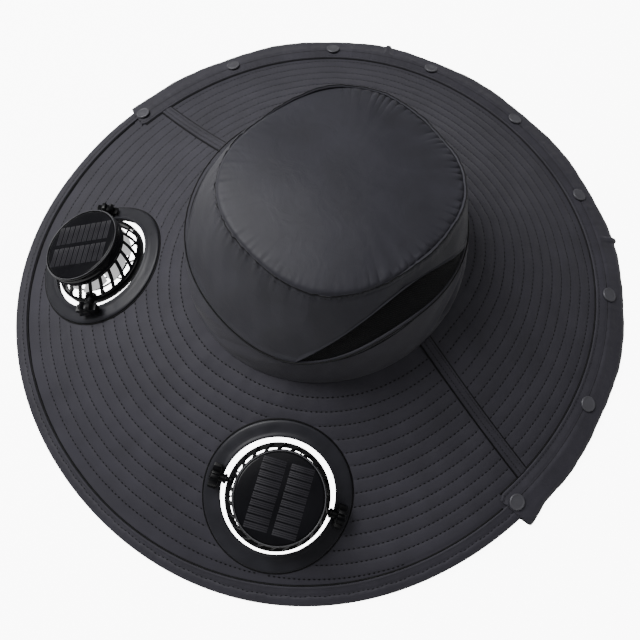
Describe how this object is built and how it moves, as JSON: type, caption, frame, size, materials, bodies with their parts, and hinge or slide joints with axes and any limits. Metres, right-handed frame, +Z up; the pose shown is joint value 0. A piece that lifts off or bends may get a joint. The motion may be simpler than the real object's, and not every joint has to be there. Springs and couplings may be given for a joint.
{
  "type": "solar fan hat",
  "caption": "Wide-brimmed cloth sun hat with a gathered crown, mesh side vents, an edge strip with snaps at the back and tilting solar fans set in the front of the brim",
  "frame": {"origin": "centre of the hat's outline on the surface that the rim rests on", "axes": "+Z up through the crown, -Y towards the front of the hat, +X towards the wearer's left"},
  "size_m": [0.4648, 0.4784, 0.1418],
  "materials": {
    "crown_cloth": "soft grey cloth",
    "brim_cloth": "quilted grey cloth",
    "trim_cloth": "grey cloth tape",
    "vent_mesh": "fine black net",
    "snap": "satin grey",
    "flange": "soft dark vinyl",
    "housing": "gloss black",
    "solar_panel": "gloss dark cells under clear resin",
    "rotor": "light grey"
  },
  "bodies": {
    "root": {"brim_front": "brim_cloth", "brim_back": "brim_cloth", "seam_tape_left": "trim_cloth", "seam_tape_right": "trim_cloth", "edge_binding": "trim_cloth", "edge_strip": "trim_cloth", "snap_1": "snap", "snap_2": "snap", "snap_3": "snap", "snap_4": "snap", "snap_5": "snap", "snap_6": "snap", "snap_7": "snap", "snap_8": "snap", "snap_9": "snap", "crown_band": "crown_cloth", "crown_side": "crown_cloth", "mesh_vent_left": "vent_mesh", "mesh_vent_right": "vent_mesh", "crown_top": "crown_cloth", "fan_flange_left": "flange", "fan_knob_a_left": "housing", "fan_knob_b_left": "housing", "fan_flange_right": "flange", "fan_knob_a_right": "housing", "fan_knob_b_right": "housing"},
    "fan_head_left": {"fan_basket_left": "housing", "fan_cap_left": "housing", "fan_panel_left": "solar_panel"},
    "rotor_left": {"fan_rotor_left": "rotor"},
    "fan_head_right": {"fan_basket_right": "housing", "fan_cap_right": "housing", "fan_panel_right": "solar_panel"},
    "rotor_right": {"fan_rotor_right": "rotor"}
  },
  "joints": [
    {"name": "tilt_left", "type": "hinge", "parent": "root", "child": "fan_head_left", "pos_m": [0.10526, -0.13252, 0.02962], "axis": [0.8467, 0.5141, -0.1372], "range_deg": [-17, 43]},
    {"name": "spin_left", "type": "hinge", "parent": "fan_head_left", "child": "rotor_left", "pos_m": [0.10526, -0.13252, 0.02962], "axis": [0.1679, -0.0135, 0.9857], "continuous": true},
    {"name": "tilt_right", "type": "hinge", "parent": "root", "child": "fan_head_right", "pos_m": [-0.11777, -0.12083, 0.02966], "axis": [0.7324, -0.6667, 0.1385], "range_deg": [-31, 29]},
    {"name": "spin_right", "type": "hinge", "parent": "fan_head_right", "child": "rotor_right", "pos_m": [-0.11777, -0.12083, 0.02966], "axis": [-0.33, -0.1697, 0.9286], "continuous": true}
  ]
}
